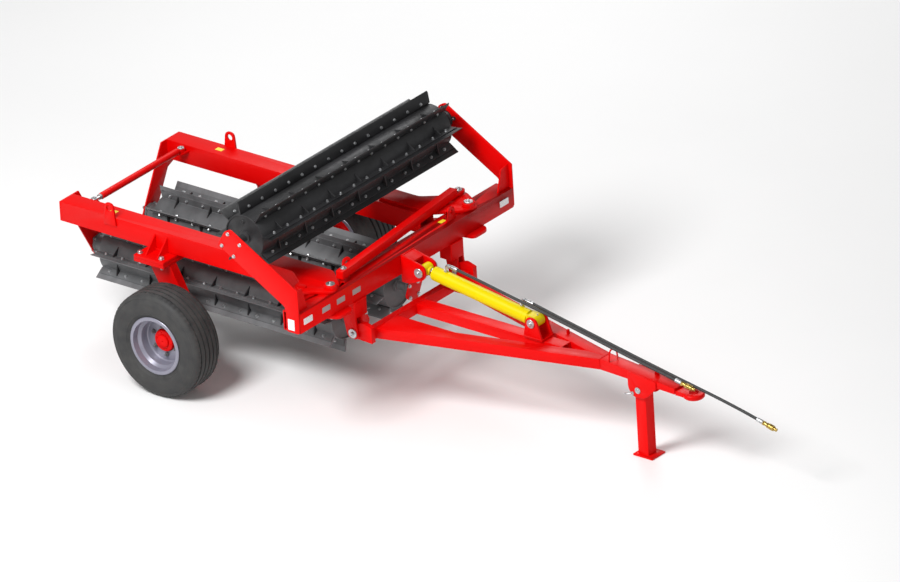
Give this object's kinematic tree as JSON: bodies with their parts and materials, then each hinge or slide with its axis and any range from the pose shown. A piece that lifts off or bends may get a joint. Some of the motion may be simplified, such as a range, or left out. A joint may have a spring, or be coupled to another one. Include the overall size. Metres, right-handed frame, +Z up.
{
  "type": "trailed folding knife roller",
  "caption": "Trailed folding knife roller: drawbar with ring hitch, hydraulic cylinder, bladed centre drum and folding wings with bladed drums and wheels.",
  "frame": {"origin": "on the ground, at the middle of the machine's length and width in transport position", "axes": "+X forward to the hitch, +Y to the machine's left, +Z up"},
  "size_m": [5.9087, 2.45, 1.7057],
  "materials": {
    "red_paint": "gloss",
    "yellow_paint": "gloss",
    "black_paint": "satin",
    "drum_steel": "satin",
    "zinc": "satin",
    "tyre_rubber": "matt",
    "rim_silver": "gloss",
    "hose_rubber": "matt",
    "brass": "polished"
  },
  "bodies": {
    "drawbar": {"drawbar_rail_right": "red_paint", "drawbar_rail_left": "red_paint", "drawbar_centre_rail": "red_paint", "drawbar_cross_beam": "red_paint", "drawbar_nose": "red_paint", "hitch_ring": "red_paint", "cylinder_bracket": "red_paint", "cylinder_bracket_pin": "zinc", "jack_plate_right": "red_paint", "jack_plate_left": "red_paint", "jack_pin": "zinc", "hose_holder": "red_paint", "hose_a": "hose_rubber", "hose_b": "hose_rubber", "coupler_a": "brass", "coupler_b": "brass"},
    "drop_leg": {"drop_leg": "red_paint"},
    "cylinder_barrel": {"cylinder_barrel": "yellow_paint", "rod_port_elbow": "zinc", "base_port_elbow": "zinc"},
    "cylinder_rod": {"cylinder_rod": "yellow_paint"},
    "centre_frame": {"front_beam": "red_paint", "cross_stay": "red_paint", "side_arm_right": "red_paint", "side_arm_left": "red_paint", "centre_bearing_right": "black_paint", "centre_bearing_left": "black_paint", "pivot_leg_right": "red_paint", "pivot_leg_left": "red_paint", "pivot_pin_right": "zinc", "pivot_pin_left": "zinc", "cylinder_tower": "red_paint", "wing_hinge_pin_right": "zinc", "wing_hinge_pin_left": "zinc"},
    "centre_drum": {"centre_drum": "black_paint"},
    "lock_bar": {"rear_lock_bar": "red_paint"},
    "right_wing": {"right_wing_beam": "red_paint", "right_front_leg": "red_paint", "right_front_bearing": "drum_steel", "right_rear_leg": "red_paint", "right_rear_bearing": "drum_steel", "right_arm_clamp": "red_paint", "right_wheel_arm": "red_paint"},
    "right_drum": {"right_drum": "drum_steel"},
    "right_wheel": {"right_tyre": "tyre_rubber", "right_rim": "rim_silver", "right_hub": "red_paint"},
    "left_wing": {"left_wing_beam": "red_paint", "left_front_leg": "red_paint", "left_front_bearing": "drum_steel", "left_rear_leg": "red_paint", "left_rear_bearing": "drum_steel", "left_arm_clamp": "red_paint", "left_wheel_arm": "red_paint"},
    "left_drum": {"left_drum": "drum_steel"},
    "left_wheel": {"left_tyre": "tyre_rubber", "left_rim": "rim_silver", "left_hub": "red_paint"}
  },
  "joints": [
    {"name": "frame_tilt", "type": "hinge", "parent": "drawbar", "child": "centre_frame", "pos_m": [-0.02, 0, 0.646], "axis": [0, -1, 0], "range_deg": [0, 90]},
    {"name": "right_wing_fold", "type": "hinge", "parent": "centre_frame", "child": "right_wing", "pos_m": [-0.06, -0.785, 0.965], "axis": [0, 0, 1], "range_deg": [0, 90]},
    {"name": "left_wing_fold", "type": "hinge", "parent": "centre_frame", "child": "left_wing", "pos_m": [-0.06, 0.785, 0.965], "axis": [0, 0, -1], "range_deg": [0, 90]},
    {"name": "centre_drum_spin", "type": "hinge", "parent": "centre_frame", "child": "centre_drum", "pos_m": [-0.58, 0, 1.442], "axis": [0, 1, 0], "continuous": true},
    {"name": "right_drum_spin", "type": "hinge", "parent": "right_wing", "child": "right_drum", "pos_m": [-1.4, -0.295, 0.564], "axis": [1, 0, 0], "continuous": true},
    {"name": "right_wheel_spin", "type": "hinge", "parent": "right_wing", "child": "right_wheel", "pos_m": [-1.417, -1.015, 0.399], "axis": [0, 1, 0], "continuous": true},
    {"name": "left_drum_spin", "type": "hinge", "parent": "left_wing", "child": "left_drum", "pos_m": [-1.4, 0.295, 0.564], "axis": [1, 0, 0], "continuous": true},
    {"name": "left_wheel_spin", "type": "hinge", "parent": "left_wing", "child": "left_wheel", "pos_m": [-1.417, 1.015, 0.399], "axis": [0, 1, 0], "continuous": true},
    {"name": "barrel_swing", "type": "hinge", "parent": "drawbar", "child": "cylinder_barrel", "pos_m": [1.152, 0, 0.796], "axis": [0, -1, 0], "range_deg": [0, 7.17]},
    {"name": "rod_slide", "type": "slide", "parent": "cylinder_barrel", "child": "cylinder_rod", "axis": [-0.9888, 0, 0.1496], "range_m": [0, 0.4755]},
    {"name": "jack_swing", "type": "hinge", "parent": "drawbar", "child": "drop_leg", "pos_m": [2.093, 0, 0.521], "axis": [0, 1, 0], "range_deg": [0, 85]},
    {"name": "lock_bar_swing", "type": "hinge", "parent": "left_wing", "child": "lock_bar", "pos_m": [-2.45, 0.49, 1], "axis": [0, 0, 1], "range_deg": [0, 90]}
  ],
  "couplings": [
    {"joint": "barrel_swing", "follows": "frame_tilt", "ratio": 0.07957},
    {"joint": "rod_slide", "follows": "frame_tilt", "m_per_rad": 0.30258}
  ]
}
